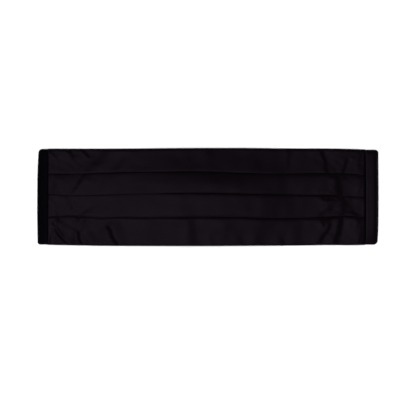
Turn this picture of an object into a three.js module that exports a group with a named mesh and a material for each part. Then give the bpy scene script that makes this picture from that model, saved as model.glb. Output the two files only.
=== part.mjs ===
// A pleated satin cummerbund that lies face up, with its straps folded behind it and clasped.
// Millimetres, +X along the panel to the right, +Y to its top edge, +Z up from the surface it lies on.
import * as THREE from "three";

// Cloth sizes of the panel and its bands
const overallLength = 443;
const panelHeight = 127;
const leftBandWidth = 13.2;
const rightBandWidth = 16.7;
const clothThickness = 1;
const layerGap = 0.3;
const pleatUnderlap = 13;
const hemDepth = 13;
const hemCover = 8;
const hemRise = 6;
const topFoldSpan = 2.6;
const panelLoft = 0.18;
const loftLength = 14;

// The bands at the two ends
const bandLap = 8;
const bandEdgeSpan = 1.6;
const leftBandPuff = 4.8;
const rightBandPuff = 3.6;
const bandPinch = 0.4;
const bandPinchLength = 7;
const bandShoulder = 0.5;
const bandTopCorner = 3;
const bandBottomCorner = 3;

// The straps and the clasp, which the panel covers
const strapWidth = 25;
const strapThickness = 1.2;
const strapTurnback = 22;
const rightStrapInset = 5;
const claspLength = 42;
const claspWidth = 33;
const claspThickness = 1.4;
const claspBar = 4.5;
const claspSlot = 5;
const claspSlotMargin = 1;
const claspCorner = 3;

// How the panel settles over what lies under it
const restWidth = 11;
const plateauMargin = 1.5;
const settleLength = 70;

// Creases that the seams pull into the satin
const creaseWidth = 6;
const creaseLift = 0.17;

// Sections of the panel. at runs from -1 at the left seam to 1 at the right seam; the other columns are
// shares of half the panel's height: the top edge, the three pleat edges and the bottom edge.
const panelSections = [
  { at: -1.0, top: 0.984, one: 0.461, two: 0.044, three: -0.417, bottom: -0.97 },
  { at: -0.82, top: 0.985, one: 0.461, two: 0.025, three: -0.405, bottom: -0.986 },
  { at: -0.67, top: 0.986, one: 0.471, two: 0.031, three: -0.436, bottom: -0.991 },
  { at: -0.51, top: 0.989, one: 0.496, two: 0.05, three: -0.425, bottom: -0.998 },
  { at: -0.36, top: 0.992, one: 0.498, two: 0.066, three: -0.424, bottom: -1.0 },
  { at: 0.0, top: 0.999, one: 0.496, two: 0.068, three: -0.422, bottom: -1.0 },
  { at: 0.24, top: 1.0, one: 0.476, two: 0.055, three: -0.433, bottom: -0.995 },
  { at: 0.46, top: 0.997, one: 0.457, two: 0.031, three: -0.455, bottom: -0.986 },
  { at: 0.61, top: 0.991, one: 0.454, two: 0.027, three: -0.447, bottom: -0.983 },
  { at: 0.77, top: 0.984, one: 0.46, two: 0.011, three: -0.425, bottom: -0.98 },
  { at: 0.92, top: 0.976, one: 0.441, two: -0.005, three: -0.414, bottom: -0.976 },
  { at: 1.0, top: 0.972, one: 0.417, two: -0.014, three: -0.441, bottom: -0.978 },
];

// How far each band reaches at places from its bottom edge, -1, to its top edge, 1, as shares of its width
const bandReach = [
  { at: -1.0, left: 0.98, right: 0.89 },
  { at: -0.72, left: 1.0, right: 0.945 },
  { at: -0.36, left: 1.0, right: 0.98 },
  { at: 0.0, left: 0.97, right: 1.0 },
  { at: 0.6, left: 0.945, right: 0.985 },
  { at: 1.0, left: 0.89, right: 0.93 },
];

// The height of each band's front ply from the seam, 0, out to its edge, 1, as shares of its puff
const bandProfile = [
  { at: 0.0, left: 1.0, right: 0.62 },
  { at: 0.12, left: 0.98, right: 0.88 },
  { at: 0.3, left: 0.85, right: 1.0 },
  { at: 0.55, left: 0.68, right: 1.0 },
  { at: 0.8, left: 0.51, right: 0.88 },
  { at: 1.0, left: 0.36, right: 0.5 },
];

// Creases, from one point to another. x is a share of half the panel's length and y of half its height;
// wide and high are shares of the crease's named width and lift.
const creases = [
  { fromX: 0.729, fromY: 0.94, toX: 0.77, toY: 0.53, wide: 1.0, high: 1.0 },
  { fromX: 0.88, fromY: 0.74, toX: 0.86, toY: 0.45, wide: 0.9, high: 0.7 },
  { fromX: 0.827, fromY: 0.39, toX: 0.846, toY: 0.08, wide: 1.4, high: 0.8 },
  { fromX: 0.856, fromY: -0.05, toX: 0.85, toY: -0.36, wide: 1.2, high: 0.8 },
  { fromX: 0.775, fromY: -0.59, toX: 0.713, toY: -0.94, wide: 1.0, high: 1.0 },
  { fromX: 0.846, fromY: -0.43, toX: 0.8, toY: -0.94, wide: 1.1, high: 1.0 },
  { fromX: 0.965, fromY: -0.7, toX: 0.985, toY: -0.93, wide: 1.2, high: 0.7 },
  { fromX: 0.517, fromY: 0.98, toX: 0.517, toY: 0.7, wide: 0.9, high: 0.6 },
  { fromX: -0.645, fromY: 0.96, toX: -0.69, toY: 0.68, wide: 1.4, high: 0.6 },
  { fromX: -0.8, fromY: 0.4, toX: -0.842, toY: 0.13, wide: 1.0, high: 0.9 },
  { fromX: -0.872, fromY: -0.03, toX: -0.855, toY: -0.2, wide: 1.1, high: 0.6 },
  { fromX: -0.745, fromY: -0.26, toX: -0.795, toY: -0.4, wide: 0.9, high: 0.6 },
  { fromX: -0.94, fromY: -0.72, toX: -0.885, toY: -0.94, wide: 0.8, high: 0.9 },
  { fromX: -0.803, fromY: -0.76, toX: -0.785, toY: -0.94, wide: 0.9, high: 0.9 },
  { fromX: -0.61, fromY: -0.7, toX: -0.565, toY: -0.95, wide: 1.0, high: 1.0 },
];

// Where the panel's sections stand: runs of even steps, closer together where the creases are
const stationRuns = [
  { from: -1.0, to: -0.53, steps: 13 },
  { from: -0.53, to: 0.49, steps: 7 },
  { from: 0.49, to: 0.69, steps: 3 },
  { from: 0.69, to: 1.0, steps: 9 },
];

// How finely curves are drawn
const climbShares = [1 / 3, 2 / 3, 1];
const cornerSegments = 4;
const turnSteps = 4;
const pleatTurnSteps = 3;
const hiddenTurnSteps = 2;
const bandStations = 9;
const cornerSteps = 3;

// Sizes worked out from the ones above
const halfHeight = panelHeight / 2;
const halfCloth = clothThickness / 2;
const layerPitch = clothThickness + layerGap;
const leftSeam = -overallLength / 2 + leftBandWidth;
const rightSeam = overallLength / 2 - rightBandWidth;
const panelCentre = (leftSeam + rightSeam) / 2;
const panelHalfLength = (rightSeam - leftSeam) / 2;
const claspUnderside = strapThickness + layerGap;
const claspTop = claspUnderside + claspThickness;
const overStrap = strapThickness + layerGap;
const overClasp = claspTop + layerGap + overStrap;

// A share that is 1 up to inner and falls smoothly to 0 at outer
const fall = (value, inner, outer) => 1 - THREE.MathUtils.smootherstep(value, inner, outer);

// The columns of a table at any place between its rows, on a smooth curve
function columnsOf(rows) {
  const keys = Object.keys(rows[0]).slice(1);
  const places = rows.map((row) => row.at);
  const values = rows.flatMap((row) => keys.map((key) => row[key]));
  const curve = new THREE.CubicInterpolant(places, values, keys.length, new Float64Array(keys.length));
  return (at) => {
    const found = curve.evaluate(at);
    return Object.fromEntries(keys.map((key, i) => [key, found[i]]));
  };
}

const sectionAt = columnsOf(panelSections);
const reachAt = columnsOf(bandReach);
const profileAt = columnsOf(bandProfile);

// The height of what lies under the cloth: the floor, raised over the straps and most over the clasp
function underside(x, y) {
  const nearClasp = fall(Math.abs(x), claspLength / 2 + plateauMargin, claspLength / 2 + settleLength);
  const ridge = THREE.MathUtils.lerp(overStrap, overClasp, nearClasp);
  return ridge * fall(Math.abs(y), claspWidth / 2 + plateauMargin, halfHeight - restWidth);
}

// How far a point of the panel is in from the nearer seam
const inwardOf = (x) => Math.min(x - leftSeam, rightSeam - x);

// The height added where the panel's ends lie on the bands' back plies
const lapLift = (x) => layerPitch * fall(inwardOf(x), bandLap + plateauMargin, 2 * bandLap + plateauMargin);

// The share by which creases raise the cloth at a point: a lip on either side of each line
function creaseShare(x, y) {
  const point = new THREE.Vector3(x, y, 0);
  const nearest = new THREE.Vector3();
  const share = creases.reduce((sum, crease) => {
    const line = new THREE.Line3(
      new THREE.Vector3(panelCentre + crease.fromX * panelHalfLength, crease.fromY * halfHeight, 0),
      new THREE.Vector3(panelCentre + crease.toX * panelHalfLength, crease.toY * halfHeight, 0),
    );
    line.closestPointToPoint(point, true, nearest);
    const away = (nearest.distanceTo(point) / (creaseWidth * crease.wide)) ** 2;
    return sum + creaseLift * crease.high * away * Math.exp(1 - away);
  }, 0);
  return Math.min(share, 2 * creaseLift);
}

// How much the layers swell upwards at a point: tight at the seams, looser between them
function swellAt(x, y) {
  const loft = panelLoft * (1 - fall(inwardOf(x), 0, loftLength));
  return (1 + loft) * (1 + creaseShare(x, y));
}

// How far the two ends of a turn lie in from its tip
const turnReach = (fromHeight, toHeight) => Math.abs(toHeight - fromHeight) / 2 + halfCloth;

// A half turn of cloth between two heights, whose tip reaches tip on the side of out
function turn(tip, out, fromHeight, toHeight, steps) {
  const centre = tip - out * turnReach(fromHeight, toHeight);
  const middle = (fromHeight + toHeight) / 2;
  const radius = Math.abs(toHeight - fromHeight) / 2;
  return Array.from({ length: steps + 1 }, (_, i) => {
    const angle = (Math.PI * i) / steps;
    const height = middle + (fromHeight - middle) * Math.cos(angle);
    return new THREE.Vector2(centre + out * radius * Math.sin(angle), height);
  });
}

// The folded line of the cloth at one section, in the plane across the panel: up the back ply, over the
// top edge, down the four pleats, round the bottom edge and into the hem. Its x is y, its y the height.
// Plies that lie on one another have their points at the same places, so none bends into the next.
function foldedLine(section) {
  const { top, one, two, three, bottom } = section;
  const upperEdges = [top, one, two, three].map((share) => share * halfHeight);
  const lowerEdges = [one, two, three, bottom].map((share) => share * halfHeight);
  const plies = [0, 1, 2, 3].map((layer) => halfCloth + layer * layerPitch);
  const point = (y, height) => new THREE.Vector2(y, height);
  const foldReach = turnReach(plies[3], plies[2]);

  const bottomEdge = lowerEdges[3];
  const hemTop = bottomEdge + hemDepth;
  const landings = lowerEdges.map((edge, i) => (i < 3 ? edge + pleatUnderlap + layerPitch : hemTop + hemRise));

  const line = [
    point(hemTop - hemCover, plies[1]),
    point(hemTop + layerGap, plies[1]),
    point(landings[3], plies[0]),
  ];
  for (const i of [2, 1, 0]) {
    const edge = lowerEdges[i];
    line.push(point(edge + foldReach, plies[0]), point(edge + pleatUnderlap / 2, plies[0]));
    line.push(point(landings[i], plies[0]));
  }
  line.push(...turn(upperEdges[0], 1, plies[0], halfCloth + topFoldSpan, turnSteps));

  for (const i of [0, 1, 2]) {
    const edge = lowerEdges[i];
    const half = edge + pleatUnderlap / 2;
    const startHeight = i === 0 ? halfCloth + topFoldSpan : plies[1];
    for (const share of climbShares) {
      const y = THREE.MathUtils.lerp(upperEdges[i], landings[i], share);
      line.push(point(y, THREE.MathUtils.lerp(startHeight, plies[3], share)));
    }
    line.push(point(half, plies[3]), ...turn(edge, -1, plies[3], plies[2], pleatTurnSteps));
    line.push(point(half, plies[2]), ...turn(edge + pleatUnderlap, 1, plies[2], plies[1], hiddenTurnSteps));
    line.push(point(half, plies[1]), point(edge + foldReach, plies[1]));
  }

  for (const share of climbShares) {
    const y = THREE.MathUtils.lerp(upperEdges[3], landings[3], share);
    line.push(point(y, THREE.MathUtils.lerp(plies[1], plies[2], share)));
  }
  line.push(point(hemTop, plies[2]));
  line.push(...turn(bottomEdge, -1, plies[2], plies[0], turnSteps));
  line.push(point(hemTop - hemCover, plies[0]), point(hemTop, plies[0]));
  return line;
}

// The two faces of a wall of cloth along a folded line: pairs of points, half a thickness to either side
function facesOf(line, halfThickness) {
  const last = line.length - 1;
  const headings = line.slice(1).map((point, i) => point.clone().sub(line[i]).normalize());
  return line.map((point, i) => {
    const into = headings[Math.max(i - 1, 0)];
    const outOf = headings[Math.min(i, last - 1)];
    const along = into.clone().add(outOf).normalize();
    const side = new THREE.Vector2(-along.y, along.x).multiplyScalar(halfThickness / along.dot(into));
    return [point.clone().add(side), point.clone().sub(side)];
  });
}

// The volume inside a closed mesh, which is negative where its faces point inwards
function signedVolume(positions, index) {
  const corner = (i) => new THREE.Vector3().fromArray(positions, 3 * index[i]);
  let volume = 0;
  for (let i = 0; i < index.length; i += 3) {
    volume += corner(i).dot(corner(i + 1).cross(corner(i + 2))) / 6;
  }
  return volume;
}

// One closed wall from sections of equal length, each a list of pairs of points, face and back.
// The diagonal of each patch rises with y, so that plies on one another bend alike.
function wallGeometry(sections) {
  const count = sections[0].length;
  const last = count - 1;
  const lastRow = sections.length - 1;
  const positions = [];
  for (const section of sections) {
    for (const side of [0, 1]) {
      section.forEach((pair) => positions.push(...pair[side].toArray()));
    }
  }
  const index = [];
  const face = (row, i) => row * 2 * count + i;
  const back = (row, i) => face(row, i) + count;
  const yOf = (vertex) => positions[3 * vertex + 1];
  const quad = (a, b, c, d) => {
    if (yOf(c) >= yOf(a)) {
      index.push(a, b, c, a, c, d);
    } else {
      index.push(a, b, d, b, c, d);
    }
  };
  for (let row = 0; row < lastRow; row++) {
    for (let i = 0; i < last; i++) {
      quad(face(row, i), face(row + 1, i), face(row + 1, i + 1), face(row, i + 1));
      quad(back(row, i), back(row, i + 1), back(row + 1, i + 1), back(row + 1, i));
    }
    quad(face(row, 0), back(row, 0), back(row + 1, 0), face(row + 1, 0));
    quad(face(row, last), face(row + 1, last), back(row + 1, last), back(row, last));
  }
  for (let i = 0; i < last; i++) {
    quad(face(0, i), face(0, i + 1), back(0, i + 1), back(0, i));
    quad(face(lastRow, i), back(lastRow, i), back(lastRow, i + 1), face(lastRow, i + 1));
  }
  if (signedVolume(positions, index) < 0) {
    index.reverse();
  }
  const geometry = new THREE.BufferGeometry();
  geometry.setAttribute("position", new THREE.Float32BufferAttribute(positions, 3));
  geometry.setIndex(index);
  geometry.computeVertexNormals();
  return geometry;
}

// The panel: the folded line at each station, laid over what is under it and swollen by the creases
function panelGeometry() {
  const stations = stationRuns.flatMap(({ from, to, steps }, i) => {
    const first = i === 0 ? 0 : 1;
    const length = steps + 1 - first;
    return Array.from({ length }, (_, k) => THREE.MathUtils.lerp(from, to, (k + first) / steps));
  });
  const sections = stations.map((at) => {
    const x = panelCentre + at * panelHalfLength;
    const lay = ({ x: y, y: height }) =>
      new THREE.Vector3(x, y, underside(x, y) + lapLift(x) + height * swellAt(x, y));
    return facesOf(foldedLine(sectionAt(at)), halfCloth).map((pair) => pair.map(lay));
  });
  return wallGeometry(sections);
}

// The folded line of a band across its width: out from the seam on the front ply, round its edge, and
// back on the back ply to its tongue under the panel. Its x is the distance out from the seam.
function bandLine(side, width, puff, pinch) {
  const reach = width - turnReach(bandEdgeSpan, 0);
  const frontShares = bandProfile.slice(0, -1).map((row) => row.at);
  const line = frontShares.map((share) => {
    const span = THREE.MathUtils.lerp(bandEdgeSpan, puff * profileAt(share)[side], pinch);
    return new THREE.Vector2(THREE.MathUtils.lerp(layerGap, reach, share), halfCloth + span);
  });
  line.push(...turn(width, 1, halfCloth + bandEdgeSpan, halfCloth, turnSteps));
  frontShares.reverse().forEach((share) => line.push(new THREE.Vector2(share * reach, halfCloth)));
  line.push(new THREE.Vector2(-bandLap, halfCloth));
  return line;
}

// Places along a band from its bottom edge to its top edge, closer together round its corners
function bandPlaces(bottom, top) {
  const places = [];
  for (let k = 0; k < cornerSteps; k++) {
    places.push(bottom + bandBottomCorner * (1 - Math.cos(((Math.PI / 2) * k) / cornerSteps)));
  }
  for (let k = 0; k <= bandStations; k++) {
    places.push(THREE.MathUtils.lerp(bottom + bandBottomCorner, top - bandTopCorner, k / bandStations));
  }
  for (let k = 1; k <= cornerSteps; k++) {
    places.push(top - bandTopCorner * (1 - Math.sin(((Math.PI / 2) * k) / cornerSteps)));
  }
  return places;
}

// A band, on the side named left or right. The left one sinks to the floor as it goes out.
function bandGeometry(side, seam, width, puff) {
  const sign = side === "left" ? -1 : 1;
  const end = sectionAt(sign);
  const top = end.top * halfHeight - bandShoulder;
  const bottom = end.bottom * halfHeight + bandShoulder;
  const sections = bandPlaces(bottom, top).map((y) => {
    const corner = y < 0 ? bandBottomCorner : bandTopCorner;
    const fromEnd = Math.min(top - y, y - bottom);
    const past = Math.max(corner - fromEnd, 0) / corner;
    const cut = corner * (1 - Math.sqrt(1 - past ** 2));
    const pinch = THREE.MathUtils.lerp(1, bandPinch, fall(fromEnd, 0, bandPinchLength));
    const stretch = reachAt((2 * y) / (top - bottom))[side] - cut / width;
    const lay = ({ x: out, y: height }) => {
      const sink = side === "left" ? fall(out, 0, width) : 1;
      const x = seam + sign * (out > layerGap ? out * stretch : out);
      return new THREE.Vector3(x, y, underside(x, y) * sink + height);
    };
    return facesOf(bandLine(side, width, puff, pinch), halfCloth).map((pair) => pair.map(lay));
  });
  return wallGeometry(sections);
}

// A strap: from under its end band to the clasp, up through the slot and back over itself
function strapGeometry(sign, outerEnd) {
  const low = strapThickness / 2;
  const overBar = claspTop + layerGap + low;
  const backDown = overStrap + low;
  const barOuter = claspLength / 2;
  const barInner = barOuter - claspBar;
  const point = (x, height) => new THREE.Vector2(x, height);
  const steps = 2 * pleatTurnSteps;
  const radius = (overBar - low) / 2;
  const line = [point(outerEnd, low), point(barOuter + layerGap, low)];
  for (let i = 0; i <= steps; i++) {
    const angle = (Math.PI * i) / steps;
    line.push(point(barInner - radius * Math.sin(angle), low + radius * (1 - Math.cos(angle))));
  }
  line.push(point(barOuter + layerGap, overBar));
  line.push(point(barOuter + strapTurnback / 2, backDown));
  line.push(point(barOuter + strapTurnback, backDown));
  const faces = facesOf(line, low);
  const sections = [-strapWidth / 2, strapWidth / 2].map((y) =>
    faces.map((pair) => pair.map(({ x, y: height }) => new THREE.Vector3(sign * x, y, height))),
  );
  return wallGeometry(sections);
}

// The clasp: a plain plate with a slot for each strap
function claspGeometry() {
  const slotWidth = strapWidth + 2 * claspSlotMargin;
  const outline = roundedRectangle(new THREE.Shape(), 0, claspLength, claspWidth, claspCorner);
  const slotCentre = claspLength / 2 - claspBar - claspSlot / 2;
  for (const sign of [-1, 1]) {
    const slot = roundedRectangle(new THREE.Path(), sign * slotCentre, claspSlot, slotWidth, claspSlotMargin);
    outline.holes.push(slot);
  }
  const plate = { depth: claspThickness, bevelEnabled: false, curveSegments: cornerSegments };
  return new THREE.ExtrudeGeometry(outline, plate).translate(0, 0, claspUnderside);
}

// A rectangle with rounded corners, centred on a point of the x axis
function roundedRectangle(path, centreX, length, width, radius) {
  const x = length / 2 - radius;
  const y = width / 2 - radius;
  const corners = [
    { x: centreX + x, y: -y, from: -Math.PI / 2 },
    { x: centreX + x, y, from: 0 },
    { x: centreX - x, y, from: Math.PI / 2 },
    { x: centreX - x, y: -y, from: Math.PI },
  ];
  corners.forEach((corner) => path.absarc(corner.x, corner.y, radius, corner.from, corner.from + Math.PI / 2));
  path.closePath();
  return path;
}

const satin = { roughness: 0.42, metalness: 0 };
const panelSatin = new THREE.MeshStandardMaterial({ ...satin, color: 0x17131a, name: "panel_satin" });
const leftSatin = new THREE.MeshStandardMaterial({ ...satin, color: 0x0e0c10, name: "left_band_satin" });
const rightSatin = new THREE.MeshStandardMaterial({ ...satin, color: 0x131015, name: "right_band_satin" });
const webbing = { color: 0x0f0e10, roughness: 0.85, metalness: 0 };
const leftWebbing = new THREE.MeshStandardMaterial({ ...webbing, name: "left_webbing" });
const rightWebbing = new THREE.MeshStandardMaterial({ ...webbing, name: "right_webbing" });
const blackMetal = new THREE.MeshStandardMaterial({
  color: 0x141414,
  roughness: 0.35,
  metalness: 0.6,
  name: "clasp_metal",
});

const cummerbund = new THREE.Group();

function addPiece(name, geometry, material) {
  const mesh = new THREE.Mesh(geometry, material);
  mesh.name = name;
  cummerbund.add(mesh);
}

addPiece("pleated_panel", panelGeometry(), panelSatin);
addPiece("end_band_left", bandGeometry("left", leftSeam, leftBandWidth, leftBandPuff), leftSatin);
addPiece("end_band_right", bandGeometry("right", rightSeam, rightBandWidth, rightBandPuff), rightSatin);
addPiece("strap_left", strapGeometry(-1, -leftSeam), leftWebbing);
addPiece("strap_right", strapGeometry(1, overallLength / 2 - rightStrapInset), rightWebbing);
addPiece("clasp", claspGeometry(), blackMetal);

export default cummerbund;
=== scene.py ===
# %% [markdown]
# # A pleated satin cummerbund
# A cummerbund is a wide sash of pleated satin that is worn round the waist. This one lies face up on a
# pale surface, with its straps folded behind it and clasped. The lesson builds the satin from one
# folded line that is carried along the panel, then the two end bands, the straps and the stitches,
# and last the black satin finish and the light that makes it readable.

# %% The frame and the tools
import math

import bpy
import numpy as np
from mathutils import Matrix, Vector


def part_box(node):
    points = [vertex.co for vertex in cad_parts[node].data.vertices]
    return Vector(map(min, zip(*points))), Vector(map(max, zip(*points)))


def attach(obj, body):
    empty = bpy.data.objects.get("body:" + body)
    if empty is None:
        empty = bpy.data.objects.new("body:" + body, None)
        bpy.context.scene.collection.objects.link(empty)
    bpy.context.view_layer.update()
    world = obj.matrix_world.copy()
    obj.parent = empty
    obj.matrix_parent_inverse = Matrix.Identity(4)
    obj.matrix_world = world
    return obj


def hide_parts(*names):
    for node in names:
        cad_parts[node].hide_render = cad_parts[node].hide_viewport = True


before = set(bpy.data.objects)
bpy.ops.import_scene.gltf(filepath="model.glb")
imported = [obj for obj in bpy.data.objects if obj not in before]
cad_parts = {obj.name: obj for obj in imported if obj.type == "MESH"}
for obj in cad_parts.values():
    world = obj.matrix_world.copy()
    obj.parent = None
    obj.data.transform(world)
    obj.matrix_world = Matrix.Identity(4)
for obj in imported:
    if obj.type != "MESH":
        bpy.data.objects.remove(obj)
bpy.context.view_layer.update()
MM = 0.001

# %% [markdown]
# ## Sizes
# The panel and the bands keep the places that the solid model gives them, so their length, height and
# seams are read from the frame. The satin itself is thinner than the solid's walls, so that its folds
# lie as flat as real pleats do, and plies that lie on one another are one pitch apart: the cloth and a gap.


# %% Sizes from the frame, in millimetres
def box_of(node):
    """The low and the high corner of a solid's box, in millimetres."""
    return [np.array(corner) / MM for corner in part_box(node)]


panel_low, panel_high = box_of("pleated_panel")
clasp_low, clasp_high = box_of("clasp")
strap_low, strap_high = box_of("strap_right")

LEFT_SEAM = panel_low[0]
RIGHT_SEAM = panel_high[0]
HALF_HEIGHT = (panel_high[1] - panel_low[1]) / 2
PANEL_CENTRE = (LEFT_SEAM + RIGHT_SEAM) / 2
PANEL_HALF = (RIGHT_SEAM - LEFT_SEAM) / 2
LEFT_BAND = LEFT_SEAM - box_of("end_band_left")[0][0]
RIGHT_BAND = box_of("end_band_right")[1][0] - RIGHT_SEAM
STRAP_WIDTH = strap_high[1] - strap_low[1]
CLASP_HALF = clasp_high[0]
CLASP_TOP = clasp_high[2]

CLOTH = 0.22
GAP = 0.05
PITCH = CLOTH + GAP
CLEARANCE = 0.3
STRAP_THICK = clasp_low[2] - CLEARANCE
UNDERLAP = 13
HEM_DEPTH = 13
HEM_COVER = 8
HEM_RISE = 6
LOFT = 0.10
LOFT_LENGTH = 14
BAND_LAP = 8
print("panel from", round(LEFT_SEAM, 1), "to", round(RIGHT_SEAM, 1))
print("bands", round(LEFT_BAND, 1), "and", round(RIGHT_BAND, 1), "wide")

# %% [markdown]
# ## The shape of the panel as tables
# The top edge, the three pleat edges and the bottom edge wander a little from left to right. A short
# table gives each of them as a share of half the panel's height, at places from -1 at the left seam to
# 1 at the right seam. A smooth curve through each column fills in the rest. Three more tables say how far
# the bands reach out, how high their front swells, and how far each fold stands open and how slowly and
# how evenly the plies climb to it.

# %% Section tables
SECTION_COLUMNS = ("at", "top", "one", "two", "three", "bottom")
SECTION_ROWS = [
    (-1.00, 0.990, 0.473, 0.058, -0.406, -0.979),
    (-0.82, 0.991, 0.474, 0.032, -0.387, -0.991),
    (-0.67, 0.991, 0.489, 0.043, -0.428, -0.999),
    (-0.51, 0.992, 0.507, 0.063, -0.411, -1.003),
    (-0.36, 0.995, 0.510, 0.071, -0.419, -1.003),
    (0.00, 1.002, 0.517, 0.083, -0.406, -1.004),
    (0.24, 1.002, 0.486, 0.064, -0.419, -0.999),
    (0.46, 0.996, 0.474, 0.054, -0.438, -0.996),
    (0.61, 0.994, 0.484, 0.040, -0.433, -0.992),
    (0.77, 0.993, 0.484, 0.033, -0.405, -0.985),
    (0.92, 0.983, 0.471, 0.010, -0.396, -0.987),
    (1.00, 0.974, 0.442, -0.004, -0.419, -0.982),
]
REACH_COLUMNS = ("at", "left", "right")
REACH_ROWS = [
    (-1.00, 1.000, 0.935),
    (-0.72, 1.022, 0.985),
    (-0.36, 1.048, 1.000),
    (0.00, 1.044, 1.003),
    (0.60, 1.002, 1.000),
    (1.00, 0.905, 1.005),
]
PROFILE_COLUMNS = ("at", "left", "right")
PROFILE_ROWS = [
    (0.00, 1.00, 0.74),
    (0.08, 0.99, 0.80),
    (0.30, 0.87, 0.87),
    (0.55, 0.71, 0.94),
    (0.75, 0.58, 0.92),
    (0.88, 0.50, 0.77),
    (1.00, 0.44, 0.50),
]
OPEN_COLUMNS = ("at", "one", "two", "three", "climb_two", "climb_three", "climb_last", "even_two")
OPEN_ROWS = [
    (-1.00, 0.52, 0.00, 0.00, 0.10, 0.045, 0.030, 0.00),
    (-0.82, 0.57, 0.00, 0.00, 0.10, 0.040, 0.030, 0.00),
    (-0.60, 0.57, 0.01, 0.01, 0.09, 0.040, 0.030, 0.00),
    (-0.50, 0.63, 0.00, 0.00, 0.07, 0.030, 0.030, 0.00),
    (-0.36, 0.90, 0.00, 0.10, 0.04, 0.030, 0.036, 0.00),
    (-0.19, 1.06, 0.66, 0.46, 0.07, 0.055, 0.050, 0.40),
    (0.02, 1.20, 0.96, 0.70, 0.06, 0.060, 0.070, 0.70),
    (0.24, 1.15, 1.05, 1.10, 0.07, 0.060, 0.070, 0.75),
    (0.46, 0.90, 0.96, 1.20, 0.08, 0.060, 0.070, 0.20),
    (0.61, 0.56, 0.76, 0.90, 0.09, 0.050, 0.060, 0.00),
    (0.77, 0.80, 0.96, 1.00, 0.10, 0.060, 0.070, 0.00),
    (1.00, 0.70, 0.76, 0.90, 0.12, 0.060, 0.070, 0.00),
]


def smooth_columns(columns, rows):
    """Returns a function of place that gives each column on a smooth curve. Between two rows the value is
    the cubic that meets both rows, and the slope at a row is that from the row before to the row after."""
    table = np.array(rows, dtype=float)
    at = table[:, 0]
    slopes = np.gradient(table[:, 1:], at, axis=0)

    def columns_at(place):
        place = np.clip(np.asarray(place, dtype=float), at[0], at[-1])
        row = np.clip(np.searchsorted(at, place, side="right") - 1, 0, len(at) - 2)
        span = at[row + 1] - at[row]
        t = ((place - at[row]) / span)[..., None]
        low, high = table[row, 1:], table[row + 1, 1:]
        rise_low, rise_high = slopes[row] * span[..., None], slopes[row + 1] * span[..., None]
        cubic = (
            low * (1 + 2 * t) * (1 - t) ** 2
            + rise_low * t * (1 - t) ** 2
            + high * t**2 * (3 - 2 * t)
            - rise_high * t**2 * (1 - t)
        )
        return {name: cubic[..., i] for i, name in enumerate(columns[1:])}

    return columns_at


section_at = smooth_columns(SECTION_COLUMNS, SECTION_ROWS)
reach_at = smooth_columns(REACH_COLUMNS, REACH_ROWS)
profile_at = smooth_columns(PROFILE_COLUMNS, PROFILE_ROWS)
open_at = smooth_columns(OPEN_COLUMNS, OPEN_ROWS)
print("section at the middle:", {k: round(float(v), 3) for k, v in section_at(0.0).items()})

# %% [markdown]
# ## Creases
# The stitching at the ends pulls short creases into the satin, steep near the bands and fainter in the
# middle. Each is a row: where it starts and ends, how wide its face is in millimetres, and how deep
# as a share of the cloth's height there. Long soft waves run through every pleat as well, and small
# crumples near the seams.

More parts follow.
